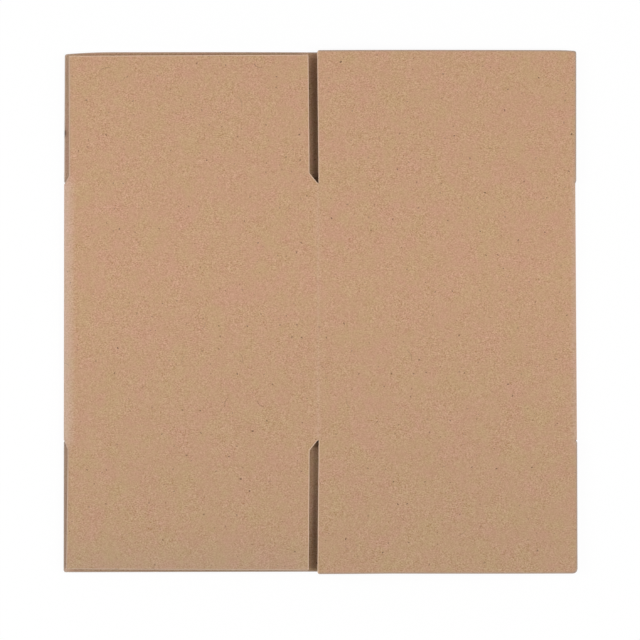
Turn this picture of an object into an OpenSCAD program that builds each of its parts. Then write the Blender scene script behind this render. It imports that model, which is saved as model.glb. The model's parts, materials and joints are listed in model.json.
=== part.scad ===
// Regular slotted carton of single-wall corrugated board, folded flat and lying on its seam.
// The frame has +Z up and its origin on the ground, under the middle of the flat pack.
// X runs across the two upper wall panels and Y runs along the flutes.
// The four upper flaps are free to swing up on their scores, so each is a solid of its own.

/* [Board] */
// Thickness of the corrugated board
board_t = 3; // [2.4:0.1:4.2]
// Thickness of each flat liner
liner_t = 0.3; // [0.2:0.05:0.5]
// Thickness of the fluted medium between the liners
medium_t = 0.3; // [0.2:0.05:0.5]
// Length of one flute wave
flute_pitch = 6.5; // [5.5:0.1:8.5]

/* [Walls] */
// Width of a minor panel, from its fold to its score
minor_w = 156; // [110:1:240]
// Width of a major panel, from its fold to its score
major_w = 158; // [110:1:240]
// Height of the walls, between the scores of the minor flaps
wall_h = 157.6; // [110:0.2:240]

/* [Flaps] */
// Length of every flap, from its score to its free edge
flap_len = 79; // [45:0.5:110]
// Distance that the major flaps' scores lie outside those of the minor flaps
score_step = 3; // [1:0.5:5]
// Distance that a major flap stands out past the fold beside it
major_overhang = 0.8; // [0.2:0.1:2]
// Radius of the flaps' free corners
corner_r = 1.4; // [0.5:0.1:3]

/* [Slots] */
// Width of the slot beside a flat score, all taken from the minor flap
slot_w = 5.4; // [4:0.1:8]
// Width that the slot at a fold takes from the minor flap
fold_slot_w = 3.1; // [2:0.1:6]
// Length of the slanted end of a slot
slot_bevel = 6.1; // [3:0.1:10]

/* [Glue tab] */
// Width of the glue tab
tab_w = 30; // [20:1:45]
// Amount by which each end of the tab slants back at its free edge
tab_taper = 9; // [4:1:20]
// Length over which the wall rises to bring the tab onto its neighbour
tab_rise = 6; // [4:0.5:12]
// Distance that each end of the tab stays inside the scores of the minor flaps
tab_inset = 2; // [1:0.5:6]
// Gap between the tab's score and the free edge of the wall glued to it
seam_gap = 2; // [1:0.5:4]

/* [Flat lay] */
// Gap between the two layers just inside the left fold
left_fold_gap = 2.4; // [0.4:0.2:5]
// Gap between the two layers just inside the right fold
right_fold_gap = 0.4; // [0.2:0.2:5]
// Room left over the glue tab under the middle score
ridge_room = 2.5; // [1.2:0.1:5]
// Reach of the hollow inside the rounded left fold
left_nose_hollow = 4; // [0.4:0.2:6]
// Reach of the hollow inside the rounded right fold
right_nose_hollow = 0.4; // [0.2:0.2:6]

/* [Hidden] */

// Colour of brown kraft liner
kraft = [0.757, 0.604, 0.486];
// Running gap between a hinged flap and the wall that it swings on
crease_gap = 0.2;
// Width and depth of a score pressed into the inside of the board
score_w = 1.6;
score_d = 0.2;
// Half width of the glue line between a flute's crest and a liner
glue_line = 0.5;
// Least board left beside the outermost flute
flute_edge = 1.5;
// Fine slit where a flat flap passes the end of a rounded fold or of the rise at the seam
slit = 0.2;
// Distance that a flap's board runs on into the wall that it grows from
root = 1;
// Distance that cuts run past the faces they go through
overrun = 1;
// Straight steps in a rounded fold, in the rise of the tab and in a corner
nose_steps = 14;
rise_steps = 6;
corner_steps = 5;
// Places along half a flute where its outline bends, as shares of the flute's half width
flute_bend_shares = [0.62, 0.22];

// Places across the flat pack
half_w = (minor_w + major_w) / 2;
left_x = -half_w;
right_x = half_w;
ridge_x = left_x + minor_w;
seam_x = left_x + major_w;
left_nose = board_t + left_nose_hollow;
right_nose = board_t + right_nose_hollow;
left_flat_x = left_x + left_nose;
right_flat_x = right_x - right_nose;
tab_end_x = seam_x + tab_w;
rise_x = seam_x - tab_rise;
edge_x = seam_x + seam_gap;
lower_minor_x0 = seam_x + slot_w;
lower_minor_x1 = right_x - fold_slot_w;

// Heights of the upper face at the left fold, the middle score and the right fold
left_top = 2 * board_t + left_fold_gap;
ridge_top = 3 * board_t + ridge_room;
right_top = 2 * board_t + right_fold_gap;
minor_slope = (ridge_top - left_top) / (ridge_x - left_flat_x);
major_slope = (right_top - ridge_top) / (right_flat_x - ridge_x);

// Places along the flutes, all measured from the middle of the walls
minor_score_y = wall_h / 2;
major_score_y = minor_score_y + score_step;
root_y = minor_score_y - root;
slit_y = minor_score_y + slit;
minor_end_y = minor_score_y + flap_len;
major_end_y = major_score_y + flap_len;

// The upper face of a sheet of board: a point on it and its slope
MINOR_SHEET = [ridge_x, ridge_top, minor_slope];
MAJOR_SHEET = [ridge_x, ridge_top, major_slope];
LOWER_SHEET = [left_x, board_t, 0];
TAB_SHEET = [seam_x, 2 * board_t, 0];

function sheet_z(sheet, x) = sheet[1] + (x - sheet[0]) * sheet[2];

function sheet_outline(sheet, x0, x1) = [
    [x0, sheet_z(sheet, x0) - board_t],
    [x1, sheet_z(sheet, x1) - board_t],
    [x1, sheet_z(sheet, x1)],
    [x0, sheet_z(sheet, x0)]
];

function arc(centre, radii, from, to, steps) = [
    for (i = [0 : steps])
        let (angle = from + (to - from) * i / steps)
            centre + [radii[0] * cos(angle), radii[1] * sin(angle)]
];

// The inside of the middle score, pressed into the board from below
ridge_score = [
    [ridge_x + score_w / 2, sheet_z(MAJOR_SHEET, ridge_x + score_w / 2) - board_t],
    [ridge_x, ridge_top - board_t + score_d],
    [ridge_x - score_w / 2, sheet_z(MINOR_SHEET, ridge_x - score_w / 2) - board_t]
];

// The wall's rise onto its neighbour at the seam, for a face that starts at height z
function seam_rise(z) = [
    for (i = [0 : rise_steps])
        [rise_x + tab_rise * i / rise_steps, z + board_t * (1 - cos(180 * i / rise_steps)) / 2]
];

// Extrudes an outline drawn in X and Z along Y
module along_y(y0, y1) {
    translate([0, y1, 0]) rotate([90, 0, 0]) linear_extrude(y1 - y0) children();
}

module at_both_ends() {
    children();
    mirror([0, 1, 0]) children();
}

// Height of a flute's channel wall above the middle of the board, at a distance from its centre
function medium_z(distance) =
    medium_t / 2 - (board_t / 2 - liner_t - medium_t / 2) * cos(360 * distance / flute_pitch);

// One channel between the medium and a liner. Side is 1 under the upper liner and -1 over the lower one.
function channel(sheet, centre, side) =
    let (
        reach = flute_pitch / 2 - glue_line,
        liner = board_t / 2 - liner_t,
        bends = [for (share = flute_bend_shares) [share * reach, medium_z(share * reach)]],
        half = concat([[reach, liner]], bends),
        shape = concat(half, [for (i = [len(half) - 1 : -1 : 0]) [-half[i][0], half[i][1]]])
    )
    [for (p = shape) [centre + p[0], sheet_z(sheet, centre + p[0]) - board_t / 2 + side * p[1]]];

// The flutes' open channels in a sheet of board, counted from the sheet's own score
module flutes(sheet, x0, x1, y0, y1) {
    reach = flute_edge + flute_pitch / 2;
    for (side = [1, -1]) {
        shift = side > 0 ? 1 / 2 : 0;
        first = ceil((x0 + reach - sheet[0]) / flute_pitch - shift);
        last = floor((x1 - reach - sheet[0]) / flute_pitch - shift);
        for (i = [first : last])
            along_y(y0, y1) polygon(channel(sheet, sheet[0] + (i + shift) * flute_pitch, side));
    }
}

// Flutes that run right through the flat pack, out past its edges on both sides
module flutes_through(sheet, x0, x1, end_y) {
    flutes(sheet, x0, x1, -end_y - overrun, end_y + overrun);
}

// Four walls folded round as one tube, with the glue tab lying on the far wall
module wall_tube() {
    left_centre = [left_flat_x, left_top / 2];
    right_centre = [right_flat_x, right_top / 2];
    outside = concat(
        [[edge_x, 0]],
        arc(right_centre, [right_nose, right_top / 2], -90, 90, nose_steps),
        [[ridge_x, ridge_top]],
        arc(left_centre, [left_nose, left_top / 2], 90, 270, nose_steps),
        seam_rise(0),
        [[edge_x, board_t]]
    );
    inside = concat(
        seam_rise(board_t),
        [[tab_end_x, 2 * board_t], [tab_end_x, board_t]],
        arc(right_centre, [right_nose_hollow, right_top / 2 - board_t], -90, 90, nose_steps),
        ridge_score,
        arc(left_centre, [left_nose_hollow, left_top / 2 - board_t], 90, 270, nose_steps)
    );
    points = concat(outside, inside);
    along_y(-minor_score_y, minor_score_y)
        polygon(points, [
            [for (i = [0 : len(outside) - 1]) i],
            [for (i = [len(outside) : len(points) - 1]) i]
        ]);
}

// The strip of the right wall that runs on past the minor scores to the major flap's score.
// Its faces keep the corners that the tube has there, and it passes the end of the fold with a slit.
module major_wall_strip() {
    end_x = right_x + major_overhang;
    end_z = sheet_z(MAJOR_SHEET, end_x);
    fold_side = [[right_flat_x, right_top], [right_flat_x, right_top - board_t]];
    along_y(root_y, major_score_y)
        polygon(concat(fold_side, [ridge_score[0], ridge_score[1], [ridge_x, ridge_top]]));
    along_y(slit_y, major_score_y)
        polygon(concat(fold_side, [[end_x, end_z - board_t], [end_x, end_z]]));
}

// What the slanted ends of the tab leave open
module tab_end_cut() {
    end_y = minor_score_y - tab_inset;
    translate([0, 0, board_t])
        linear_extrude(board_t + slit)
            polygon([
                [seam_x, end_y],
                [tab_end_x, end_y - tab_taper],
                [tab_end_x + overrun, end_y - tab_taper],
                [tab_end_x + overrun, minor_score_y + overrun],
                [seam_x, minor_score_y + overrun]
            ]);
}

// The free end of a flap, with its two corners rounded
function flap_end(x0, x1, y) = concat(
    arc([x1 - corner_r, y - corner_r], [corner_r, corner_r], 0, 90, corner_steps),
    arc([x0 + corner_r, y - corner_r], [corner_r, corner_r], 90, 180, corner_steps)
);

// The outline of a minor flap from one slot to the other, round its free end.
// It narrows from its score to clear the slots on its two sides.
function minor_flap_sides(x0, x1) = concat(
    [[x1, minor_score_y + slot_bevel]],
    flap_end(x0, x1, minor_end_y),
    [[x0, minor_score_y + slot_bevel]]
);

// A flap cut by its plan from a sheet of board that reaches past it all round
module flap(sheet, plan) {
    xs = [for (p = plan) p[0]];
    ys = [for (p = plan) p[1]];
    intersection() {
        along_y(min(ys) - overrun, max(ys) + overrun)
            polygon(sheet_outline(sheet, min(xs) - overrun, max(xs) + overrun));
        translate([0, 0, -overrun]) linear_extrude(ridge_top + 2 * overrun) polygon(plan);
    }
}

// The lower left flap, in one piece with its wall. It clears the left fold and the rise at the seam.
module lower_major_flap() {
    x0 = left_x - major_overhang;
    x1 = seam_x - seam_gap;
    difference() {
        flap(LOWER_SHEET, concat(
            [[x0, slit_y], [left_flat_x, slit_y], [left_flat_x, root_y]],
            [[rise_x, root_y], [rise_x, slit_y], [x1, slit_y]],
            flap_end(x0, x1, major_end_y)
        ));
        lower_score(x0 - overrun, x1 + overrun, major_score_y);
    }
}

// The lower right flap, in one piece with its wall. It clears the right fold.
module lower_minor_flap() {
    flap(LOWER_SHEET, concat(
        [[edge_x, slit_y], [edge_x, root_y], [right_flat_x, root_y]],
        [[right_flat_x, slit_y], [right_x, slit_y]],
        minor_flap_sides(lower_minor_x0, lower_minor_x1)
    ));
}

// The line pressed into the inside of the lower layer where a flap folds
module lower_score(x0, x1, y) {
    translate([x0, y, board_t])
        rotate([90, 0, 90])
            linear_extrude(x1 - x0)
                polygon([[0, -score_d], [score_w, score_d], [-score_w, score_d]]);
}

module folded_blank() {
    color(kraft)
        difference() {
            union() {
                wall_tube();
                at_both_ends() {
                    lower_major_flap();
                    lower_minor_flap();
                    major_wall_strip();
                }
            }
            at_both_ends() {
                tab_end_cut();
                lower_score(edge_x - seam_gap / 2, right_flat_x, minor_score_y);
            }
            flutes_through(LOWER_SHEET, left_flat_x, rise_x, major_end_y);
            flutes_through(LOWER_SHEET, lower_minor_x0, right_flat_x, minor_end_y);
            flutes_through(TAB_SHEET, seam_x, tab_end_x, minor_score_y);
            flutes_through(MINOR_SHEET, left_flat_x, ridge_x, minor_score_y);
            flutes_through(MAJOR_SHEET, ridge_x, right_flat_x, major_score_y);
        }
}

// The upper left flap, which lies in the plane of its wall and swings up on its score
module minor_flap() {
    x0 = left_x + fold_slot_w;
    x1 = ridge_x - slot_w;
    hinge_y = minor_score_y + crease_gap;
    color(kraft)
        difference() {
            flap(MINOR_SHEET, concat([[left_x, hinge_y], [ridge_x, hinge_y]], minor_flap_sides(x0, x1)));
            flutes(MINOR_SHEET, x0, x1, hinge_y - overrun, minor_end_y + overrun);
        }
}

// The upper right flap, which lies in the plane of its wall and swings up on its score
module major_flap() {
    x0 = ridge_x;
    x1 = right_x + major_overhang;
    hinge_y = major_score_y + crease_gap;
    color(kraft)
        difference() {
            flap(MAJOR_SHEET, concat([[x0, hinge_y], [x1, hinge_y]], flap_end(x0, x1, major_end_y)));
            flutes(MAJOR_SHEET, x0, x1, hinge_y - overrun, major_end_y + overrun);
        }
}

folded_blank();
minor_flap();  // minor_flap_top
major_flap();  // major_flap_top
mirror([0, 1, 0]) minor_flap();  // minor_flap_bottom
mirror([0, 1, 0]) major_flap();  // major_flap_bottom
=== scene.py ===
import json
import math

import bpy
import numpy as np
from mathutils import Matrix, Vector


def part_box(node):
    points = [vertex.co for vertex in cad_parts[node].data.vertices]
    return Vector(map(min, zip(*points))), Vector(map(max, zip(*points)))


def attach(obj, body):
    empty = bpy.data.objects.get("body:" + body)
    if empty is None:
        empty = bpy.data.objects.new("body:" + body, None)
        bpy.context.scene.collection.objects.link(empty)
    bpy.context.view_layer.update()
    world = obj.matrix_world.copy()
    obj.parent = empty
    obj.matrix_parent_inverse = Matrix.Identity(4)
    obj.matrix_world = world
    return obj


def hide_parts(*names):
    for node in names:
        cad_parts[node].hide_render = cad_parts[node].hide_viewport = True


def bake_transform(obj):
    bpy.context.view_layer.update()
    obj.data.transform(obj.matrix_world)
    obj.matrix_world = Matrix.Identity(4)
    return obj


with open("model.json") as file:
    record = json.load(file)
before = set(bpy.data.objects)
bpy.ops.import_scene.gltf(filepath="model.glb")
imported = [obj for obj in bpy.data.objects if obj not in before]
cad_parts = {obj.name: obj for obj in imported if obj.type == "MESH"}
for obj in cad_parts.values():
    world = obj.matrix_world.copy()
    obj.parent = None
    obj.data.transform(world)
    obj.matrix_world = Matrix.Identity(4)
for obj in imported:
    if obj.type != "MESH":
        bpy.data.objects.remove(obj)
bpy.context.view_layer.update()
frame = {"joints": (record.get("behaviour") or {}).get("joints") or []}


# Corrugated board, the stock that the whole carton is cut from: two kraft liners glued to a fluted
# medium. The flutes run along Y. The liners dip a little between their glue lines, and a cutting rule
# or a scoring wheel presses them together.
MM = 0.001
board_t = 3.0 * MM
liner_t = 0.3 * MM
medium_t = 0.3 * MM
flute_pitch = 6.5 * MM
# Glued papers sink this far into each other, so that no two of their faces coincide.
paper_bite = 0.004 * MM
liner_dip = 0.016 * MM
edge_press = 0.24 * MM
edge_reach = 0.9 * MM
# Rows of points lie this far in from a cut, to round its edge.
edge_insets = np.array([0.0, 0.12, 0.32, 0.6, 0.9]) * MM
# Faces that a slot or a corner shrinks to less than this are left out.
least_area = (0.002 * MM) ** 2
score_press = 0.6 * MM
score_reach = 1.5 * MM
outer_score_press = 0.008 * MM
# Painted shade greys the outer edges this far in from their cuts.
edge_shade_reach = 1.25 * MM


def linear(colour):
    """Turns an sRGB hex colour into a linear one with an alpha of 1."""
    parts = [int(colour[i:i + 2], 16) / 255 for i in (1, 3, 5)]
    return [c / 12.92 if c <= 0.04045 else ((c + 0.055) / 1.055) ** 2.4 for c in parts] + [1.0]


def add_node(tree, kind, feeds, **settings):
    """Adds a node, sets its properties and feeds its inputs, each from a node, a socket or a value."""
    node = tree.nodes.new(kind)
    for name, value in settings.items():
        setattr(node, name, value)
    for key, feed in feeds.items():
        if isinstance(feed, bpy.types.Node):
            feed = feed.outputs[0]
        if isinstance(feed, bpy.types.NodeSocket):
            tree.links.new(feed, node.inputs[key])
        else:
            node.inputs[key].default_value = feed
    return node


# Kraft liner: unbleached pulp, rolled smooth. To the eye it is a matt warm brown with a fine grain,
# cloudy patches that lean to pink or to olive, dark flecks of bark and a few hair-like fibres. It goes
# pale where a fold has stretched it or a blade has frayed it, and painted light and shade lie on it too.
kraft_pink = linear("#c5997e")
kraft_olive = linear("#c19e79")
# Pale stretched paper at the folds, also the colour of the painted sheen, highlights and strip light.
kraft_pale_and_lit = linear("#e2cfc8")
# The pale rim along a cut: frayed fibres, and a painted highlight where the edge catches the light.
kraft_frayed_and_lit = linear("#e3c8b0")
# Painted shade along the outer edges: a darker grey brown.
kraft_edge_shade = linear("#a49285")
bark = linear("#523b29")
# Painted shade: the sheet is darkened a little, most in red, from its middle to its near end, where the
# light falls off.
near_end_shade = linear("#f2f7f8")
near_shade_start_y = 20 * MM
near_shade_end_y = -160 * MM
# The grain is weakest in red and strongest in blue, and its skew makes dark spots deeper than pale ones.
grain_size = 0.78 * MM
streak_size = 0.62 * MM
grain_tint = (0.71, 1.01, 1.43)
grain_skew = 0.35
formation_size = 10 * MM
patch_size = 19 * MM
fleck_spacing = 7.3 * MM
fleck_width = 0.42 * MM
fibre_spacing = 26 * MM
fibre_width = 0.34 * MM
# The higher this is, the fewer flecks and fibres are dark, among many faint ones.
dark_rarity = 1.7

kraft_liner = bpy.data.materials.new("kraft_liner")
kraft_liner.use_nodes = True
paper = kraft_liner.node_tree
paper.nodes.clear()
place = add_node(paper, "ShaderNodeAttribute", {}, attribute_name="board_place").outputs["Vector"]
worn = add_node(paper, "ShaderNodeAttribute", {}, attribute_name="worn").outputs["Fac"]
rubbed = add_node(paper, "ShaderNodeAttribute", {}, attribute_name="rubbed").outputs["Fac"]
soiled = add_node(paper, "ShaderNodeAttribute", {}, attribute_name="soiled").outputs["Fac"]
cut_distance = add_node(paper, "ShaderNodeAttribute", {}, attribute_name="cut_distance").outputs["Fac"]

# Cloudy patches lean to pink or to olive, and painted shade darkens the near end of the sheet.
hue_patch = add_node(
    paper, "ShaderNodeTexNoise",
    {"Vector": place, "Scale": 1 / patch_size, "Detail": 3.0, "Roughness": 0.9})
hue_share = add_node(
    paper, "ShaderNodeMapRange", {"Value": hue_patch, "From Min": 0.34, "From Max": 0.66})
patchy = add_node(
    paper, "ShaderNodeMix", {0: hue_share, 6: kraft_olive, 7: kraft_pink}, data_type="RGBA").outputs[2]
along_sheet = add_node(paper, "ShaderNodeSeparateXYZ", {0: place})
near_shade_share = add_node(
    paper, "ShaderNodeMapRange",
    {"Value": along_sheet.outputs[1], "From Min": near_shade_start_y, "From Max": near_shade_end_y})
hue = add_node(
    paper, "ShaderNodeMix", {0: near_shade_share, 6: patchy, 7: near_end_shade}, data_type="RGBA",
    blend_type="MULTIPLY").outputs[2]

# The grain is drawn coarser than single fibres, which are too fine to show. It is stronger where the
# pulp has settled unevenly, and a second grain is drawn out a little the way the paper machine ran.
grain = add_node(
    paper, "ShaderNodeTexNoise",
    {"Vector": place, "Scale": 1 / grain_size, "Detail": 2.0, "Roughness": 0.6})
machine_way = add_node(paper, "ShaderNodeMapping", {"Vector": place, "Scale": (0.6, 1.0, 1.0)})
streak = add_node(
    paper, "ShaderNodeTexNoise",
    {"Vector": machine_way, "Scale": 1 / streak_size, "Detail": 2.0, "Roughness": 0.6})
tone = add_node(paper, "ShaderNodeMath", {0: grain, 1: streak}, operation="ADD")
formation = add_node(
    paper, "ShaderNodeTexNoise", {"Vector": place, "Scale": 1 / formation_size, "Detail": 1.0})
grain_strength = add_node(
    paper, "ShaderNodeMapRange",
    {"Value": formation, "From Min": 0.3, "From Max": 0.7, "To Min": 0.6, "To Max": 1.26})
swell = add_node(paper, "ShaderNodeMath", {0: tone, 1: 1.0}, operation="SUBTRACT")
swing = add_node(paper, "ShaderNodeMath", {0: swell, 1: grain_strength}, operation="MULTIPLY")
levelling = add_node(
    paper, "ShaderNodeMath", {0: swing, 1: -grain_skew, 2: 1.0}, operation="MULTIPLY_ADD")
uneven = add_node(paper, "ShaderNodeMath", {0: swing, 1: levelling}, operation="MULTIPLY")
tinted = add_node(paper, "ShaderNodeVectorMath", {0: grain_tint, "Scale": uneven}, operation="SCALE")
lightness = add_node(
    paper, "ShaderNodeVectorMath", {0: tinted.outputs[0], 1: (1.0, 1.0, 1.0)}, operation="ADD")
grained = add_node(paper, "ShaderNodeVectorMath", {0: hue, 1: lightness}, operation="MULTIPLY")

# Flecks and fibres: each cell of a flat pattern holds one, turned its own way and bent a little.
coat = grained.outputs[0]
for spacing, width, length, bend, depth, shown_part in (
        (fleck_spacing, fleck_width, 0.5 * MM, 0.0, 0.95, 0.65),
        (fibre_spacing, fibre_width, 2.6 * MM, 90.0, 0.6, 0.5)):
    cell = add_node(
        paper, "ShaderNodeTexVoronoi", {"Vector": place, "Scale": 1 / spacing}, voronoi_dimensions="2D")
    chance = add_node(paper, "ShaderNodeSeparateColor", {0: cell.outputs["Color"]})
    from_middle = add_node(
        paper, "ShaderNodeVectorMath", {0: place, 1: cell.outputs["Position"]}, operation="SUBTRACT")
    turn = add_node(
        paper, "ShaderNodeMath", {0: chance.outputs[0], 1: 2 * math.pi}, operation="MULTIPLY")
    turned = add_node(
        paper, "ShaderNodeVectorRotate", {"Vector": from_middle, "Angle": turn}, rotation_type="Z_AXIS")
    run = add_node(paper, "ShaderNodeSeparateXYZ", {0: turned})
    sweep = add_node(
        paper, "ShaderNodeMath", {0: run.outputs[0], 1: run.outputs[0]}, operation="MULTIPLY")
    bow = add_node(
        paper, "ShaderNodeMath", {0: sweep, 1: bend, 2: run.outputs[1]}, operation="MULTIPLY_ADD")
    off_line = add_node(paper, "ShaderNodeMath", {0: bow}, operation="ABSOLUTE")
    off_middle = add_node(paper, "ShaderNodeMath", {0: run.outputs[0]}, operation="ABSOLUTE")
    own_length = add_node(
        paper, "ShaderNodeMath",
        {0: chance.outputs[1], 1: length, 2: 0.3 * length}, operation="MULTIPLY_ADD")
    thick = add_node(
        paper, "ShaderNodeMath", {0: chance.outputs[1], 1: chance.outputs[1]}, operation="MULTIPLY")
    own_width = add_node(
        paper, "ShaderNodeMath", {0: thick, 1: width, 2: 0.6 * width}, operation="MULTIPLY_ADD")
    slender = add_node(paper, "ShaderNodeMath", {0: off_line, 1: own_width}, operation="DIVIDE")
    across_share = add_node(
        paper, "ShaderNodeMapRange",
        {"Value": slender, "From Min": 0.3, "From Max": 0.8, "To Min": 1.0, "To Max": 0.0})
    along_share = add_node(
        paper, "ShaderNodeMath", {0: off_middle, 1: own_length}, operation="LESS_THAN")
    darkness = add_node(
        paper, "ShaderNodeMapRange",
        {"Value": chance.outputs[2], "From Max": shown_part, "To Min": depth, "To Max": 0.0})
    shown = add_node(paper, "ShaderNodeMath", {0: darkness, 1: dark_rarity}, operation="POWER")
    mark = add_node(paper, "ShaderNodeMath", {0: across_share, 1: along_share}, operation="MULTIPLY")
    mark = add_node(paper, "ShaderNodeMath", {0: mark, 1: shown}, operation="MULTIPLY")
    coat = add_node(
        paper, "ShaderNodeMix", {0: mark, 6: coat, 7: bark}, data_type="RGBA").outputs[2]

# Frayed and stretched paper shows pale fibres, with a painted highlight along the cuts and the middle
# score and painted sheen round the side folds. Painted light lifts the lower strip on the left, painted
# shade greys the outer edges, and one of them has a smudge.
frayed_and_lit_share = add_node(
    paper, "ShaderNodeMapRange",
    {"Value": cut_distance, "From Min": 0.1 * MM, "From Max": 0.75 * MM, "To Min": 0.8, "To Max": 0.0})
frayed_and_lit = add_node(
    paper, "ShaderNodeMix", {0: frayed_and_lit_share, 6: coat, 7: kraft_frayed_and_lit}, data_type="RGBA").outputs[2]
stretched_and_lit = add_node(
    paper, "ShaderNodeMix", {0: worn, 6: frayed_and_lit, 7: kraft_pale_and_lit}, data_type="RGBA").outputs[2]
edge_shaded = add_node(
    paper, "ShaderNodeMix", {0: rubbed, 6: stretched_and_lit, 7: kraft_edge_shade}, data_type="RGBA").outputs[2]
smudged = add_node(
    paper, "ShaderNodeMix", {0: soiled, 6: edge_shaded, 7: bark}, data_type="RGBA").outputs[2]
rough_bump = add_node(
    paper, "ShaderNodeBump", {"Strength": 0.25, "Distance": 0.05 * MM, "Height": tone})
liner_face = add_node(
    paper, "ShaderNodeBsdfPrincipled",
    {"Base Color": smudged, "Roughness": 0.86, "IOR": 1.45, "Specular IOR Level": 0.25,
     "Normal": rough_bump})
add_node(paper, "ShaderNodeOutputMaterial", {"Surface": liner_face})

# Fluting medium: thin recycled paper, greyer and more open than the liner. It only shows as the wavy
# line between the liners along a cut edge, and inside a slot.
fuzz_size = 0.9 * MM
fluting_paper = bpy.data.materials.new("fluting_medium")
fluting_paper.use_nodes = True
paper = fluting_paper.node_tree
paper.nodes.clear()
place = add_node(paper, "ShaderNodeAttribute", {}, attribute_name="board_place").outputs["Vector"]
fuzz = add_node(
    paper, "ShaderNodeTexNoise",
    {"Vector": place, "Scale": 1 / fuzz_size, "Detail": 3.0, "Roughness": 0.7})
fuzz_share = add_node(paper, "ShaderNodeMapRange", {"Value": fuzz, "From Min": 0.25, "From Max": 0.75})
fluting_colour = add_node(
    paper, "ShaderNodeMix", {0: fuzz_share, 6: linear("#97764f"), 7: linear("#b8956f")},
    data_type="RGBA").outputs[2]
fluting_bump = add_node(
    paper, "ShaderNodeBump", {"Strength": 0.3, "Distance": 0.08 * MM, "Height": fuzz})
fluting_face = add_node(
    paper, "ShaderNodeBsdfPrincipled",
    {"Base Color": fluting_colour, "Roughness": 0.92, "IOR": 1.45, "Specular IOR Level": 0.15,
     "Normal": fluting_bump})
add_node(paper, "ShaderNodeOutputMaterial", {"Surface": fluting_face})

# Cut paper edge: the fibres that a blade leaves standing, fuzzy and paler than the rolled face.
lint_size = 0.5 * MM
cut_paper = bpy.data.materials.new("cut_kraft_edge")
cut_paper.use_nodes = True
paper = cut_paper.node_tree
paper.nodes.clear()
place = add_node(paper, "ShaderNodeAttribute", {}, attribute_name="board_place").outputs["Vector"]
lint = add_node(
    paper, "ShaderNodeTexNoise",
    {"Vector": place, "Scale": 1 / lint_size, "Detail": 4.0, "Roughness": 0.7})
lint_share = add_node(paper, "ShaderNodeMapRange", {"Value": lint, "From Min": 0.3, "From Max": 0.7})
cut_colour = add_node(
    paper, "ShaderNodeMix", {0: lint_share, 6: linear("#a98668"), 7: linear("#d3b79c")},
    data_type="RGBA").outputs[2]
lint_bump = add_node(
    paper, "ShaderNodeBump", {"Strength": 0.5, "Distance": 0.1 * MM, "Height": lint})
cut_face = add_node(
    paper, "ShaderNodeBsdfPrincipled",
    {"Base Color": cut_colour, "Roughness": 0.95, "IOR": 1.45, "Specular IOR Level": 0.1,
     "Normal": lint_bump})
add_node(paper, "ShaderNodeOutputMaterial", {"Surface": cut_face})

# The tree takes a board's middle surface, in a plain grid for the liners and a finer one for the
# fluting, and lays up the three papers on it. Each is set off along the board's outward way, given its
# thickness, and closed underneath.
weld_reach = 0.0005 * MM
board_tree = bpy.data.node_groups.new("corrugated_board", "GeometryNodeTree")
board_inputs = {}
sockets = [("Middle surface", "NodeSocketGeometry", None)]
sockets += [(name, "NodeSocketFloat", size) for name, size in (
    ("Board thickness", board_t), ("Liner thickness", liner_t), ("Medium thickness", medium_t),
    ("Flute pitch", flute_pitch), ("Paper bite", paper_bite), ("Liner dip", liner_dip),
    ("Edge press", edge_press), ("Edge reach", edge_reach), ("Score press", score_press),
    ("Outer score press", outer_score_press))]
sockets += [(name, "NodeSocketMaterial", finish) for name, finish in (
    ("Liner paper", kraft_liner), ("Fluting paper", fluting_paper), ("Cut edge", cut_paper))]
for name, kind, value in sockets:
    socket = board_tree.interface.new_socket(name, in_out="INPUT", socket_type=kind)
    board_inputs[name] = (socket.identifier, value)
board_tree.interface.new_socket("Board", in_out="OUTPUT", socket_type="NodeSocketGeometry")
given = board_tree.nodes.new("NodeGroupInput").outputs
outward = add_node(
    board_tree, "GeometryNodeInputNamedAttribute", {"Name": "outward"}, data_type="FLOAT_VECTOR")
flute = add_node(board_tree, "GeometryNodeInputNamedAttribute", {"Name": "flute"}, data_type="FLOAT")
from_cut = add_node(
    board_tree, "GeometryNodeInputNamedAttribute", {"Name": "cut_distance"}, data_type="FLOAT")
score = add_node(board_tree, "GeometryNodeInputNamedAttribute", {"Name": "score"}, data_type="FLOAT")
turns = add_node(board_tree, "ShaderNodeMath", {0: flute, 1: given["Flute pitch"]}, operation="DIVIDE")
angle = add_node(board_tree, "ShaderNodeMath", {0: turns, 1: 2 * math.pi}, operation="MULTIPLY")
wave = add_node(board_tree, "ShaderNodeMath", {0: angle}, operation="COSINE")
nearness = add_node(
    board_tree, "ShaderNodeMapRange",
    {"Value": from_cut, "From Max": given["Edge reach"], "To Min": 1.0, "To Max": 0.0})
rounding = add_node(board_tree, "ShaderNodeMath", {0: nearness, 1: 2.0}, operation="POWER")
edge_drop = add_node(
    board_tree, "ShaderNodeMath", {0: rounding, 1: given["Edge press"]}, operation="MULTIPLY")
score_lift = add_node(
    board_tree, "ShaderNodeMath", {0: score, 1: given["Score press"]}, operation="MULTIPLY")
outer_drop = add_node(
    board_tree, "ShaderNodeMath", {0: score, 1: given["Outer score press"], 2: edge_drop},
    operation="MULTIPLY_ADD")
half_board = add_node(
    board_tree, "ShaderNodeMath", {0: given["Board thickness"], 1: 0.5}, operation="MULTIPLY")
outer_dip = add_node(
    board_tree, "ShaderNodeMapRange",
    {"Value": wave, "From Min": -1.0, "From Max": 1.0, "To Min": given["Liner dip"], "To Max": 0.0})
inner_dip = add_node(
    board_tree, "ShaderNodeMapRange",
    {"Value": wave, "From Min": -1.0, "From Max": 1.0, "To Min": 0.0, "To Max": given["Liner dip"]})
outer_seat = add_node(
    board_tree, "ShaderNodeMath", {0: half_board, 1: given["Liner thickness"]}, operation="SUBTRACT")
outer_seat_low = add_node(
    board_tree, "ShaderNodeMath", {0: outer_seat, 1: outer_dip}, operation="SUBTRACT")
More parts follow.
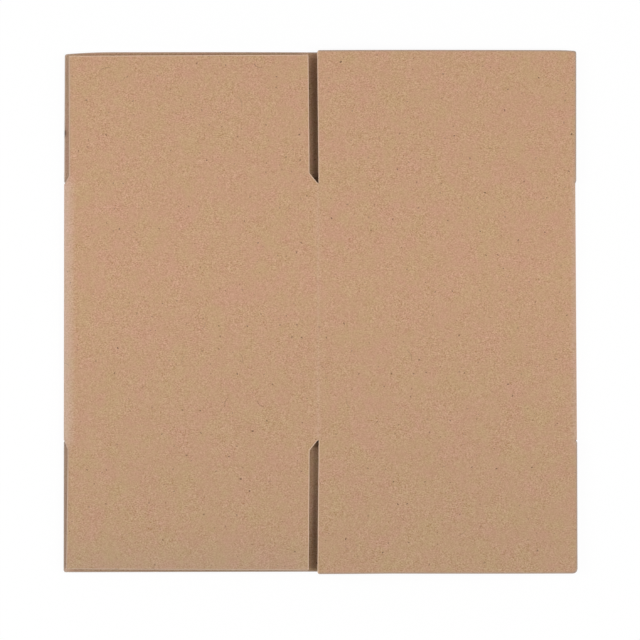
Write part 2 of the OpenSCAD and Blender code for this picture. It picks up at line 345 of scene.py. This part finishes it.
outer_height = add_node(
    board_tree, "ShaderNodeMath", {0: outer_seat_low, 1: outer_drop}, operation="SUBTRACT")
inner_seat = add_node(board_tree, "ShaderNodeMath", {0: inner_dip, 1: half_board}, operation="SUBTRACT")
inner_rise = add_node(board_tree, "ShaderNodeMath", {0: edge_drop, 1: score_lift}, operation="ADD")
inner_height = add_node(board_tree, "ShaderNodeMath", {0: inner_seat, 1: inner_rise}, operation="ADD")
half_medium = add_node(
    board_tree, "ShaderNodeMath", {0: given["Medium thickness"], 1: 0.5}, operation="MULTIPLY")
half_lift = add_node(board_tree, "ShaderNodeMath", {0: score_lift, 1: 0.5}, operation="MULTIPLY")
squeeze = add_node(board_tree, "ShaderNodeMath", {0: half_lift, 1: outer_drop}, operation="ADD")
free_swing = add_node(
    board_tree, "ShaderNodeMath", {0: outer_seat, 1: half_medium}, operation="SUBTRACT")
glued_swing = add_node(
    board_tree, "ShaderNodeMath", {0: free_swing, 1: given["Paper bite"]}, operation="ADD")
flute_swing = add_node(
    board_tree, "ShaderNodeMath", {0: glued_swing, 1: squeeze}, operation="SUBTRACT")
middle = add_node(board_tree, "ShaderNodeMath", {0: half_lift, 1: half_medium}, operation="SUBTRACT")
medium_height = add_node(
    board_tree, "ShaderNodeMath", {0: wave, 1: flute_swing, 2: middle}, operation="MULTIPLY_ADD")
fluted = add_node(board_tree, "GeometryNodeInputNamedAttribute", {"Name": "fluted"}, data_type="FLOAT")
parted = add_node(
    board_tree, "GeometryNodeSeparateGeometry",
    {"Geometry": given["Middle surface"], "Selection": fluted})
fluted_sheet, plain_sheet = (
    add_node(board_tree, "GeometryNodeMergeByDistance", {"Geometry": part, "Distance": weld_reach})
    for part in parted.outputs)
# Patterns are placed on the unrolled sheet, so that they do not stretch round a fold. Each paper has its
# own part of the patterns, shifted along by whole metres. All are taken at one depth, which falls
# between the grid planes of each noise.
pattern_depth = 173.7 * MM
where = add_node(board_tree, "GeometryNodeInputPosition", {})
along_flutes = add_node(board_tree, "ShaderNodeSeparateXYZ", {0: where})
papers = []
for one_sheet, height, thickness, finish, pattern_shift in (
        (plain_sheet, outer_height, "Liner thickness", "Liner paper", 0.0),
        (fluted_sheet, medium_height, "Medium thickness", "Fluting paper", 1.0),
        (plain_sheet, inner_height, "Liner thickness", "Liner paper", 2.0)):
    offset = add_node(
        board_tree, "ShaderNodeVectorMath", {0: outward, "Scale": height}, operation="SCALE")
    under = add_node(
        board_tree, "GeometryNodeSetPosition",
        {"Geometry": one_sheet, "Offset": offset.outputs[0]})
    raised = add_node(
        board_tree, "GeometryNodeExtrudeMesh",
        {"Mesh": under, "Offset": outward.outputs[0], "Offset Scale": given[thickness],
         "Individual": False})
    rimmed = add_node(
        board_tree, "GeometryNodeStoreNamedAttribute",
        {"Geometry": raised, "Name": "cut_rim", "Value": raised.outputs["Side"]},
        data_type="BOOLEAN", domain="FACE")
    closing = add_node(board_tree, "GeometryNodeFlipFaces", {"Mesh": under})
    both = add_node(board_tree, "GeometryNodeJoinGeometry", {"Geometry": closing})
    board_tree.links.new(rimmed.outputs[0], both.inputs[0])
    welded = add_node(
        board_tree, "GeometryNodeMergeByDistance", {"Geometry": both, "Distance": weld_reach})
    across_sheet = add_node(board_tree, "ShaderNodeMath", {0: flute, 1: pattern_shift}, operation="ADD")
    on_sheet = add_node(
        board_tree, "ShaderNodeCombineXYZ",
        {0: across_sheet, 1: along_flutes.outputs[1], 2: pattern_depth})
    marked = add_node(
        board_tree, "GeometryNodeStoreNamedAttribute",
        {"Geometry": welded, "Name": "board_place", "Value": on_sheet}, data_type="FLOAT_VECTOR",
        domain="POINT")
    papers.append(add_node(
        board_tree, "GeometryNodeSetMaterial", {"Geometry": marked, "Material": given[finish]}))
laid_up = add_node(board_tree, "GeometryNodeJoinGeometry", {})
for paper_layer in papers:
    board_tree.links.new(paper_layer.outputs[0], laid_up.inputs[0])
smooth = add_node(board_tree, "GeometryNodeSetShadeSmooth", {"Geometry": laid_up, "Shade Smooth": True})
single = add_node(board_tree, "GeometryNodeRealizeInstances", {"Geometry": smooth})
rim = add_node(board_tree, "GeometryNodeInputNamedAttribute", {"Name": "cut_rim"}, data_type="BOOLEAN")
finished = add_node(
    board_tree, "GeometryNodeSetMaterial",
    {"Geometry": single, "Selection": rim, "Material": given["Cut edge"]})
board_tree.links.new(finished.outputs[0], board_tree.nodes.new("NodeGroupOutput").inputs[0])


def distance_to_cuts(across, along, cuts):
    """Distance from each point of a flat sheet to the nearest cut, each cut being two ends."""
    nearest = np.full(across.shape, 1.0)
    for (x0, y0), (x1, y1) in cuts:
        span = (x1 - x0) ** 2 + (y1 - y0) ** 2
        share = np.clip(((across - x0) * (x1 - x0) + (along - y0) * (y1 - y0)) / span, 0, 1)
        off_across = across - x0 - share * (x1 - x0)
        off_along = along - y0 - share * (y1 - y0)
        nearest = np.minimum(nearest, np.hypot(off_across, off_along))
    return nearest


def board_sheet(
        across, fluted, rows, path, cuts, outer_cuts, score_lines, flute_start, wear_and_light=None, keep=None):
    """Lays out a board's middle surface as a grid. Columns lie at distances across the flutes, and each
    row gives its place along them, its two side limits and which of its sides are cut. The path turns a
    distance across into x, z and an outward way. The wear and light function gives the pale share of the
    face, from stretched paper and from painted sheen and highlights, and keep says which of it belongs to
    this sheet."""
    from_left = np.full(len(across), edge_insets[-1])
    from_left[:len(edge_insets)] = edge_insets
    along, left, right, left_cut, right_cut = (np.array(part, float)[:, None] for part in zip(*rows))
    columns = np.clip(
        across[None, :], left + left_cut * from_left, right - right_cut * from_left[::-1])
    along = np.broadcast_to(along, columns.shape)
    x, z, out_x, out_z = path(columns, along)
    points = np.stack([x, along, z], -1)
    scored = np.zeros(columns.shape)
    for line_across, line_along in score_lines:
        off = np.abs(columns - line_across) if line_along is None else np.abs(along - line_along)
        scored = np.maximum(scored, np.clip(1 - off / score_reach, 0, 1) ** 2)
    index = np.arange(columns.size).reshape(columns.shape)
    quads = np.stack([index[:-1, :-1], index[:-1, 1:], index[1:, 1:], index[1:, :-1]], -1)
    flat = np.stack([columns, along], -1)
    first = flat[1:, 1:] - flat[:-1, :-1]
    second = flat[1:, :-1] - flat[:-1, 1:]
    area = np.abs(first[..., 0] * second[..., 1] - first[..., 1] * second[..., 0])
    whole = area > least_area
    if keep is not None:
        middle = (flat[1:, 1:] + flat[:-1, :-1]) / 2
        whole &= keep(middle[..., 0], middle[..., 1])
    quads = quads[whole]
    outward_way = np.stack([out_x, np.zeros(columns.shape), out_z], -1).reshape(-1, 3)
    points = points.reshape(-1, 3)
    sample = quads[len(quads) // 2]
    corner = points[sample]
    facing = np.cross(corner[2] - corner[0], corner[3] - corner[1]) @ outward_way[sample[0]]
    return {
        "points": points, "faces": quads if facing > 0 else quads[:, ::-1], "outward": outward_way,
        "flute": (columns - flute_start).ravel(), "score": scored.ravel(),
        "cut_distance": distance_to_cuts(columns, along, cuts).ravel(),
        "rubbed": np.clip(1 - distance_to_cuts(columns, along, outer_cuts) / edge_shade_reach, 0, 1).ravel(),
        "worn": (np.zeros(columns.shape) if wear_and_light is None else wear_and_light(columns, along)).ravel(),
        "soiled": np.zeros(columns.size), "fluted": np.full(columns.size, float(fluted))}


def lay_up(name, sheets):
    """Makes one object from board sheets with the board tree, as a plain mesh."""
    mesh = bpy.data.meshes.new(name)
    starts = np.cumsum([0] + [len(sheet["points"]) for sheet in sheets])
    points = np.concatenate([sheet["points"] for sheet in sheets])
    faces = np.concatenate([sheet["faces"] + start for sheet, start in zip(sheets, starts)])
    used, faces = np.unique(faces, return_inverse=True)
    mesh.from_pydata(points[used].tolist(), [], faces.reshape(-1, 4).tolist())
    for label, kind, field in (
            ("outward", "FLOAT_VECTOR", "vector"), ("flute", "FLOAT", "value"),
            ("score", "FLOAT", "value"), ("cut_distance", "FLOAT", "value"), ("worn", "FLOAT", "value"),
            ("rubbed", "FLOAT", "value"), ("soiled", "FLOAT", "value"), ("fluted", "FLOAT", "value")):
        values = np.concatenate([sheet[label] for sheet in sheets])[used]
        layer = mesh.attributes.new(label, kind, "POINT")
        layer.data.foreach_set(field, values.astype(np.float32).ravel())
    board = bpy.data.objects.new(name, mesh)
    bpy.context.scene.collection.objects.link(board)
    maker = board.modifiers.new("corrugated_board", "NODES")
    maker.node_group = board_tree
    for identifier, value in board_inputs.values():
        if value is not None:
            maker[identifier] = value
    graph = bpy.context.evaluated_depsgraph_get()
    made = bpy.data.meshes.new_from_object(
        board.evaluated_get(graph), preserve_all_data_layers=True, depsgraph=graph)
    board.modifiers.clear()
    board.data = made
    made.name = name
    made.set_sharp_from_angle(angle=math.radians(40))
    return board


# Folded blank: four wall panels bent round two side folds into a flat tube, closed underneath by a
# glued tab, with the four flaps of the lower layer. It is one sheet of board, so it is laid up as one.
hinges = {joint["name"]: joint for joint in frame["joints"]}
ridge_x, minor_score, ridge_top = hinges["minor_top_score"]["pos_m"]
major_score = hinges["major_top_score"]["pos_m"][1]
minor_axis = hinges["minor_top_score"]["axis"]
major_axis = hinges["major_top_score"]["axis"]
minor_slope = minor_axis[2] / minor_axis[0]
major_slope = major_axis[2] / major_axis[0]
blank_low, blank_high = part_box("folded_blank")
minor_low, minor_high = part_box("minor_flap_top")
minor_end = minor_high[1]
major_end = blank_high[1]
flap_left = blank_low[0]
flap_right = blank_high[0]
# A wall ends a hair before the score line of its minor flap.
wall_end = minor_score - 0.1 * MM
left_fold = minor_low[0]
right_fold = -left_fold
left_flat = left_fold + 7.0 * MM
right_flat = right_fold - 3.4 * MM
left_top = ridge_top + minor_slope * (left_flat - ridge_x)
right_top = ridge_top + major_slope * (right_flat - ridge_x)
fold_bulge = 0.65 * MM
# The right fold leans out at its near end by this much, and in at its far end.
fold_lean = 0.42 * MM
# Pale shares: stretched paper and painted sheen round the side folds, a painted highlight along the
# middle score.
left_fold_pale = 0.34
right_fold_pale = 0.2
ridge_highlight = 0.09
ridge_highlight_reach = 1.2 * MM
seam_x = 1.0 * MM
rise_x = seam_x - 6.0 * MM
tab_x = seam_x + 30.0 * MM
# The tab stops this far short of the wall's ends, and as wide a strip of wall bends with a minor flap.
hinge_strip = 2.0 * MM
tab_side = wall_end - hinge_strip
tab_taper = 9.0 * MM
lower_edge_x = 3.0 * MM
slot_width = 5.4 * MM
fold_slot_width = 3.1 * MM
slot_bevel = 6.1 * MM
corner_radius = 1.4 * MM
half_t = board_t / 2


def between(start, end, step):
    """Evenly spaced places from start to end, no further apart than step."""
    return np.linspace(start, end, max(2, int(math.ceil(abs(end - start) / step)) + 1))


def ripple(x, y):
    """The slight unevenness of a sheet that has been stacked and handled, in waves of 12 and 17 cm."""
    return 0.1 * MM * np.sin(x / (19 * MM) + 0.7) * np.sin(y / (27 * MM) + 1.9)


def climb(x, low_x, high_x):
    """How far the sheet has climbed on its way over the edge that the tab is glued to."""
    share = np.clip((x - low_x) / (high_x - low_x), 0, 1)
    return board_t * (1 - np.cos(np.pi * share)) / 2


def nose_line(flat_x, fold_x, top, turns, pale):
    """A side fold's middle line: half an oval that bulges at its tip, where the stretched paper and its
    painted sheen are palest.
    """
    line = []
    for turn in np.radians(turns)[1:]:
        tip = abs(math.cos(turn))
        reach_x = abs(flat_x - fold_x) - half_t + fold_bulge * tip
        line.append((
            flat_x + reach_x * math.cos(turn), top / 2 + (top / 2 - half_t) * math.sin(turn),
            math.cos(turn), math.sin(turn), pale * tip))
    return line


# The tube's middle line, from the tab's edge to the other end of the sheet: x, z, outward way and wear.
flute_step = flute_pitch / 8
rise_step = 0.4 * MM
tab_line = [(x, board_t + half_t, 0, -1, 0) for x in between(tab_x, seam_x, flute_step)]
rise_line = [
    (x, half_t + climb(x, rise_x, seam_x), 0, -1, 0) for x in between(seam_x, rise_x, rise_step)[1:]]
lower_left_line = [(x, half_t, 0, -1, 0) for x in between(rise_x, left_flat, flute_step)[1:]]
left_nose_line = nose_line(left_flat, left_fold, left_top, np.linspace(270, 90, 37), left_fold_pale)
upper_left_line = [
    (x, ridge_top + minor_slope * (x - ridge_x) - half_t, 0, 1, 0)
    for x in between(left_flat, ridge_x, flute_step)[1:]]
upper_right_line = [
    (x, ridge_top + major_slope * (x - ridge_x) - half_t, 0, 1, 0)
    for x in between(ridge_x, right_flat, flute_step)[1:]]
right_nose_line = nose_line(
    right_flat, right_fold, right_top, np.linspace(90, -90, 33), right_fold_pale)
lower_right_line = [(x, half_t, 0, -1, 0) for x in between(right_flat, lower_edge_x, flute_step)[1:]]
lines = (
    tab_line, rise_line, lower_left_line, left_nose_line, upper_left_line, upper_right_line,
    right_nose_line, lower_right_line)
tube = np.array(sum(lines, []), float)
tube_run = np.concatenate([[0], np.cumsum(np.hypot(np.diff(tube[:, 0]), np.diff(tube[:, 1])))])
line_ends = [tube_run[count - 1] for count in np.cumsum([len(line) for line in lines])]
rise_run = line_ends[1]
left_out_run, ridge_run, right_in_run, right_out_run, edge_run = line_ends[3:]


def tube_path(across, along):
    """Place and outward way of the tube's middle surface."""
    x, z, out_x, out_z = (np.interp(across, tube_run, tube[:, part]) for part in range(4))
    x = x - fold_lean * along / wall_end * np.clip((x - right_flat) / (right_fold - right_flat), 0, 1)
    upper = (across > left_out_run) & (across < right_in_run)
    return x, z + np.where(upper, ripple(x, along), 0), out_x, out_z


def tube_wear_and_highlight(across, along):
    """Pale share of the tube's face: stretched paper and painted sheen round the side folds, a faint
    painted highlight along the middle score.
    """
    at_ridge = ridge_highlight * np.clip(1 - np.abs(across - ridge_run) / ridge_highlight_reach, 0, 1)
    return np.maximum(np.interp(across, tube_run, tube[:, 4]), at_ridge)


def beside_minor_flaps(across, along):
    """True outside the two strips of the upper left panel that bend with its hinged flaps."""
    return (across < left_out_run) | (across > ridge_run) | (np.abs(along) < wall_end - hinge_strip)


row_step = 25 * MM
wall_rows = [0.0, row_step, 2 * row_step, tab_side - tab_taper, tab_side, wall_end]
tube_rows = []
for y in sorted({-y for y in wall_rows} | set(wall_rows)):
    tab_start = max(0.0, 1 - (tab_side - abs(y)) / tab_taper) if abs(y) <= tab_side else 1.0
    tube_rows.append((y, tab_start * (tab_x - seam_x), edge_run, 1, 1))
tube_cuts = [((0, -wall_end), (0, wall_end)), ((edge_run, -wall_end), (edge_run, wall_end))]
plain_run = np.unique(np.concatenate([tube_run[::2], line_ends]))
blank_sheets = [
    board_sheet(
        run, fluted, tube_rows, tube_path, tube_cuts, [], [(ridge_run, None)], ridge_run, tube_wear_and_highlight,
        beside_minor_flaps)
    for run, fluted in ((plain_run, False), (tube_run, True))]


def flap_sheets(
        side, root, score_at, crease_rows, end, limits, bevels, corners, path, flute_start, outer,
        wear_and_light=None, more_rows=()):
    """Lays out one flap, as a plain and a fluted sheet. The limits are its left and right sides at its
    root, where the slots open, past their slanted ends and at its own end. The bevels are the lengths of
    those slants, the corners are the radii of its two free corners, and outer picks the cuts that get
    painted shade, in their order from the left root round the end to the right root."""
    root_sides, open_sides, slot_sides, end_sides = limits
    bevels_at = [wall_end + length for length in bevels]
    spots = [root, wall_end, *bevels_at, *more_rows]
    spots += list(between(max(bevels_at), end - max(corners), row_step))
    spots += list(score_at + np.linspace(-score_reach, score_reach, crease_rows))
    spots += list(end - edge_insets)
    for radius in corners:
        spots += [end - radius * (1 - math.sin(math.radians(turn))) for turn in (0, 30, 60)]
    rows = []
    for y in sorted({round(spot, 7) for spot in spots if spot >= root}):
        if y <= round(wall_end, 7):
            rows.append((side * y, *root_sides, 0, 0))
        if y >= round(wall_end, 7):
            edges = []
            for part, inward in ((0, 1), (1, -1)):
                line = (open_sides[part], slot_sides[part], end_sides[part])
                over = min(corners[part], max(0.0, y - end + corners[part]))
                rounded = corners[part] - math.sqrt(corners[part] ** 2 - over ** 2)
                edges.append(np.interp(y, (wall_end, bevels_at[part], end), line) + inward * rounded)
            cut = 1 if y > wall_end + 0.01 * MM else 0
            rows.append((side * y, *edges, cut, cut))
    halves = []
    for part, inward in ((0, 1), (1, -1)):
        radius = corners[part]
        halves.append([
            (open_sides[part], side * wall_end), (slot_sides[part], side * bevels_at[part]),
            (end_sides[part], side * (end - radius)),
            (end_sides[part] + inward * 0.3 * radius, side * (end - 0.3 * radius)),
            (end_sides[part] + inward * radius, side * end)])
    outline = halves[0] + halves[1][::-1]
    cuts = list(zip(outline[:-1], outline[1:]))
    marks = [mark for pair in limits for mark in pair]
    low = min(marks)
    high = max(marks)
    # These spare columns are spread out along a cut by board_sheet.
    near = np.array([0.0, 0.01, 0.02, 0.03]) * MM
    sheets = []
    for step, fluted in ((2 * flute_step, False), (flute_step, True)):
        count = np.arange(
            math.ceil((low - flute_start) / step), math.floor((high - flute_start) / step) + 1)
        columns = np.unique(np.round(np.concatenate([count * step + flute_start, marks]), 7))
        inside = columns[(columns > low + near[-1]) & (columns < high - near[-1])]
        columns = np.concatenate([low + near, inside, high - near[::-1]])
        sheets.append(board_sheet(
            columns, fluted, rows, path, cuts, cuts[outer], [(None, side * score_at)], flute_start,
            wear_and_light))
    return sheets


no_cuts = slice(0, 0)
left_cuts = slice(0, 2)
left_and_end_cuts = slice(0, 5)
end_and_right_cuts = slice(4, 9)
draw_length = 60 * MM


def draw_back(sheets, side, worst_x, amount, reach, bow=2):
    """The end of a flap isn't quite straight: it draws back most at one place, as at a knocked corner or
    over the middle score, and less up to the reach. A bow of 1 slants it, and one of 2 curves it. The
    flap is shortened over its whole length, beginning at the score."""
    for sheet in sheets:
        spots = sheet["points"]
        nearness = np.clip(1 - np.abs(spots[:, 0] - worst_x) / reach, 0, 1) ** bow
        from_score = np.clip((side * spots[:, 1] - major_score) / draw_length, 0, 1)
        spots[:, 1] -= side * amount * nearness * from_score


# Under a slot the lower flap rises to these shares of the tab's height, over this reach from the seam.
far_lift = 0.45
near_lift = 1.2
lift_reach = 16 * MM
slot_opening = 1.2 * MM
# The painted light on the lower strip on the left: its pale share, its width, and how much of that width
# fades out.
strip_painted_light = 0.17
strip_width = 4.5 * MM
strip_fade = 2 * MM


def lower_path(across, along):
    """The lower layer lies flat, with its outer face down. Only a flap beside the glued tab starts higher
    under the slot, and comes down to the table towards its end. The far one is pressed flatter."""
    opened = np.clip((np.abs(along) - wall_end) / slot_opening, 0, 1)
    under_slot = np.where(along > 0, far_lift, near_lift) * climb(across, rise_x - lift_reach, rise_x)
    at_root = (1 - opened) * climb(across, rise_x, seam_x) + opened * under_slot
    down = np.clip((np.abs(along) - wall_end) / (major_end - wall_end), 0, 1)
    lift = np.where(across < lower_edge_x, at_root * (1 - down ** 2), 0)
    return across, half_t + lift, np.zeros(across.shape), np.full(across.shape, -1.0)


def lower_strip_light(across, along):
    """The strip that stands out past the upper flaps on the left is painted paler than the rest, as
    painted light lifting it out of their shade.
    """
    return strip_painted_light * np.clip((flap_left + strip_width - across) / strip_fade, 0, 1)


seam_slot_width = 3.4 * MM
lower_overlap = 1.2 * MM
lower_minor_sides = (lower_edge_x + seam_slot_width, right_fold - fold_slot_width)
lower_major_sides = (flap_left, ridge_x + lower_overlap)
lower_crease_rows = 5
slot_corner = 0.5 * MM
root_nick = 0.9 * MM
smudge_y = 110.5 * MM
smudge_width = 1.8 * MM
smudge_length = 2.5 * MM
smudge_depth = 1.2
major_bevel = major_score - score_reach - wall_end
# The two ends are not cut alike. For each: how much too short its major flap is, how far that flap's left
# side leans in, how much painted shade its edges get, and where its end draws back, as draw_back takes
# it.
lower_ends = (
    {"side": 1, "short": 0.3 * MM, "lean": 0.3 * MM, "rub": 0.6,
     "draws": ((ridge_x, 0.35 * MM, 100 * MM), (flap_left, 1.3 * MM, 30 * MM)),
     "more_rows": smudge_y + np.linspace(-3, 3, 5) * MM},
    {"side": -1, "short": 0.63 * MM, "lean": 0.0, "rub": 0.9,
     "draws": ((ridge_x, 0.42 * MM, ridge_x - flap_left, 1),), "more_rows": ()})
for cut in lower_ends:
    side = cut["side"]
    lower_major_end = (flap_left + cut["lean"], lower_major_sides[1])
    major_sheets = flap_sheets(
        side, wall_end, major_score, lower_crease_rows, major_end - cut["short"],
        ((left_flat, rise_x), (flap_left + root_nick, ridge_x), lower_major_sides, lower_major_end),
        (major_bevel, major_bevel), (corner_radius, slot_corner), lower_path,
        rise_run + rise_x - ridge_run, left_and_end_cuts, lower_strip_light, cut["more_rows"])
    for sheet in major_sheets:
        sheet["rubbed"] *= cut["rub"]
    for draw in cut["draws"]:
        draw_back(major_sheets, side, *draw)
    # Only the far flap has a smudge, on its left edge.
    if side > 0:
        for sheet in major_sheets:
            off_edge = (sheet["points"][:, 0] - flap_left) / smudge_width
            off_middle = (sheet["points"][:, 1] - smudge_y) / smudge_length
            sheet["soiled"] = np.clip(smudge_depth - np.hypot(off_edge, off_middle), 0, 1)
    minor_sheets = flap_sheets(
        side, wall_end, minor_score, lower_crease_rows, minor_end,
        ((lower_edge_x, right_flat), (lower_edge_x, right_fold), lower_minor_sides, lower_minor_sides),
        (slot_bevel, slot_bevel), (slot_corner, slot_corner), lower_path,
        right_out_run + right_flat - ridge_run, no_cuts)
    # Each flap's root sinks a hair into its wall, as glued papers do into each other.
    for sheet in major_sheets + minor_sheets:
        at_root = np.abs(sheet["points"][:, 1]) < wall_end + paper_bite
        sheet["points"][at_root, 1] -= side * paper_bite
        blank_sheets.append(sheet)
folded_blank = lay_up("folded_blank_board", blank_sheets)
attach(folded_blank, "blank")
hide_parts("folded_blank")


# Upper flaps: the four flaps that lie on top, two minor ones on the left panel and two major ones on the
# right. Each is the same board as its wall, with a scored line across the flutes.
# Beside a side fold a flap settles into its panel's plane, and loses the fold's stretched paper and
# painted sheen, over these lengths.
left_settling = 12 * MM
right_settling = 2 * MM
fold_wear_and_sheen_reach = 6 * MM


def upper_path(across, along, slope, flat_x, side_x, apex_x, top, settling):
    """An upper panel is plane, but a flap's root beside a side fold still follows the fold's curve, and
    settles into the panel's plane further out."""
    settled = np.clip((np.abs(along) - wall_end) / settling, 0, 1)
    bent = (1 - settled * settled * (3 - 2 * settled)) * ((across - flat_x) * (side_x - flat_x) > 0)
    round_x = np.clip((across - flat_x) / (side_x - flat_x), 0, 1)
    round_z = np.sqrt(1 - round_x ** 2)
    inward = half_t * np.sign(side_x - flat_x)
    x = across + bent * (flat_x + round_x * (apex_x - inward - flat_x) - across)
    plane = ridge_top + slope * (across - ridge_x) - half_t + ripple(across, along)
    z = plane + bent * (top / 2 + (top / 2 - half_t) * round_z - plane)
    return x, z, bent * round_x * np.sign(side_x - flat_x), 1 + bent * (round_z - 1)


def upper_left_path(across, along):
    """The upper left panel climbs towards the middle score."""
    return upper_path(
        across, along, minor_slope, left_flat, left_fold, left_fold - fold_bulge, left_top, left_settling)


def upper_right_path(across, along):
    """The upper right panel falls away from the middle score."""
    return upper_path(
        across, along, major_slope, right_flat, flap_right, right_fold + fold_bulge, right_top,
        right_settling)


def upper_wear_and_sheen(across, along):
    """The stretched paper and painted sheen of the side folds run on a little way into the flaps beside
    them.
    """
    left = left_fold_pale * np.clip((across - left_flat) / (left_fold - left_flat), 0, 1)
    right = right_fold_pale * np.clip((across - right_flat) / (right_fold - right_flat), 0, 1)
    return (left + right) * np.clip(1 - (np.abs(along) - wall_end) / fold_wear_and_sheen_reach, 0, 1)


upper_crease_rows = 11
minor_left = left_fold + fold_slot_width
minor_right = ridge_x - slot_width
major_left = ridge_x + 0.3 * MM
# The slots are blunt at their inner ends by this much on each side, and widen towards the flaps' ends.
slot_tip = 0.35 * MM
slot_narrow = 0.1 * MM
slot_lean = 0.5 * MM
# The minor flaps' edges get this share of the painted edge shade.
minor_edge_shade_share = 0.5
# Here too the two ends differ. For each: how much too long its flaps are, how much wider its minor flap
# is past the slant and at its end, how long the slant beside the left fold is, how far its major flap's
# right side stands out at its root and is drawn in past the slant, the radius of that flap's right
# corner, which of the minor flap's cuts get painted shade, and where the flaps' ends draw back.
upper_ends = {
    "top": {
        "side": 1, "minor_long": -0.2 * MM, "major_long": 0.0, "wide": 0.3 * MM, "wide_end": 0.6 * MM,
        "fold_bevel": 4.4 * MM, "burr": 0.1 * MM, "tuck": 0.2 * MM, "right_corner": 1.4 * MM,
        "minor_cuts": left_cuts, "minor_draws": (),
        "major_draws": ((ridge_x, 0.4 * MM, 100 * MM), (flap_right, 0.5 * MM, 14 * MM))},
    "bottom": {
        "side": -1, "minor_long": 0.38 * MM, "major_long": -0.25 * MM, "wide": 0.8 * MM,
        "wide_end": 1.7 * MM, "fold_bevel": 5.6 * MM, "burr": 0.3 * MM, "tuck": 0.0,
        "right_corner": 3.0 * MM, "minor_cuts": left_and_end_cuts,
        "minor_draws": ((left_fold, 0.3 * MM, ridge_x - left_fold, 1),),
        "major_draws": ((ridge_x + 45 * MM, 0.25 * MM, 90 * MM),)}}
for end_name, cut in upper_ends.items():
    side = cut["side"]
    minor_flap = flap_sheets(
        side, wall_end - hinge_strip, minor_score, upper_crease_rows, minor_end + cut["minor_long"],
        ((left_flat, ridge_x), (left_fold, ridge_x - slot_tip),
         (minor_left - cut["wide"], minor_right + slot_narrow),
         (minor_left - cut["wide_end"], minor_right - slot_lean)),
        (cut["fold_bevel"], slot_bevel), (slot_corner, slot_corner), upper_left_path, ridge_x,
        cut["minor_cuts"], upper_wear_and_sheen)
    for sheet in minor_flap:
        sheet["rubbed"] *= minor_edge_shade_share
    major_flap = flap_sheets(
        side, wall_end, major_score, upper_crease_rows, major_end + cut["major_long"],
        ((ridge_x, right_flat), (ridge_x + slot_tip, flap_right + cut["burr"]),
         (major_left, flap_right - cut["tuck"]), (ridge_x - slot_lean, flap_right)),
        (major_bevel, major_bevel), (corner_radius, cut["right_corner"]), upper_right_path, ridge_x,
        end_and_right_cuts, upper_wear_and_sheen)
    for draw in cut["minor_draws"]:
        draw_back(minor_flap, side, *draw)
    for draw in cut["major_draws"]:
        draw_back(major_flap, side, *draw)
    for kind, sheets, score_at in (
            ("minor", minor_flap, minor_score), ("major", major_flap, major_score)):
        flap = lay_up(f"{kind}_flap_{end_name}_board", sheets)
        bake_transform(flap)
        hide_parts(f"{kind}_flap_{end_name}")


# Studio: a white table top in a pale room, lit by three soft boxes, to the left, to the right and high
# up. The camera sees the table as plain white, and the box's soft shadow stays on it.
def seen_directly(tree):
    """Adds nodes that tell whether the camera sees a thing, itself or in a shiny or clear surface."""
    ray = add_node(tree, "ShaderNodeLightPath", {})
    by_eye = add_node(
        tree, "ShaderNodeMath",
        {0: ray.outputs["Is Camera Ray"], 1: ray.outputs["Is Glossy Ray"]}, operation="MAXIMUM")
    return add_node(
        tree, "ShaderNodeMath", {0: by_eye, 1: ray.outputs["Is Transmission Ray"]}, operation="MAXIMUM")


table_half = 3.0
table_z = -0.1 * MM
table_whiteness = 0.94
table_mesh = bpy.data.meshes.new("table_top")
table_corners = ((-1, -1), (1, -1), (1, 1), (-1, 1))
table_mesh.from_pydata(
    [(x * table_half, y * table_half, table_z) for x, y in table_corners], [], [(0, 1, 2, 3)])
table_top = bpy.data.objects.new("table_top", table_mesh)
bpy.context.scene.collection.objects.link(table_top)
# Matt white paint: smooth and without gloss. To the eye it is an even white that takes a soft shadow.
white_paint = bpy.data.materials.new("matt_white_paint")
white_paint.use_nodes = True
paint = white_paint.node_tree
paint.nodes.clear()
glow_share = add_node(
    paint, "ShaderNodeMath", {0: seen_directly(paint), 1: table_whiteness}, operation="MULTIPLY")
matt = add_node(paint, "ShaderNodeBsdfDiffuse", {"Color": linear("#ffffff")})
glow = add_node(paint, "ShaderNodeEmission", {"Strength": 1.0})
mixed = add_node(paint, "ShaderNodeMixShader", {0: glow_share, 1: matt, 2: glow})
add_node(paint, "ShaderNodeOutputMaterial", {"Surface": mixed})
table_mesh.materials.append(white_paint)

# The room is seen as white, and lights the box more softly than that.
room_light = 0.34
room = bpy.data.worlds.new("soft_room")
room.use_nodes = True
bpy.context.scene.world = room
air = room.node_tree
air.nodes.clear()
brightness = add_node(
    air, "ShaderNodeMapRange", {"Value": seen_directly(air), "To Min": room_light, "To Max": 1.0})
sky = add_node(air, "ShaderNodeBackground", {"Color": linear("#ffffff"), "Strength": brightness})
add_node(air, "ShaderNodeOutputWorld", {"Surface": sky})

for name, stand, size, power in (
        ("soft_box_left", (-1.0, 0.02, 0.95), 0.8, 8.1),
        ("soft_box_right", (1.0, 0.02, 0.95), 0.8, 4.4),
        ("soft_box_above", (1.25, -0.6, 2.3), 0.9, 19.0)):
    soft_box = bpy.data.lights.new(name, "AREA")
    soft_box.size = size
    soft_box.energy = power
    lamp = bpy.data.objects.new(name, soft_box)
    lamp.location = stand
    lamp.rotation_euler = lamp.location.to_track_quat("Z", "Y").to_euler()
    bpy.context.scene.collection.objects.link(lamp)

# The camera looks down from 1.4 m, a little off the middle of the box and a little out of plumb.
lens = bpy.data.cameras.new("camera")
lens.sensor_fit = "HORIZONTAL"
lens.sensor_width = 36.0
lens.lens = 127.63
camera = bpy.data.objects.new("camera", lens)
camera.location = (0.01256, -0.02896, 1.4)
camera.rotation_euler = (0.01712, 0.00896, -0.00052)
bpy.context.scene.collection.objects.link(camera)
bpy.context.scene.camera = camera
bpy.context.scene.view_settings.view_transform = "Standard"
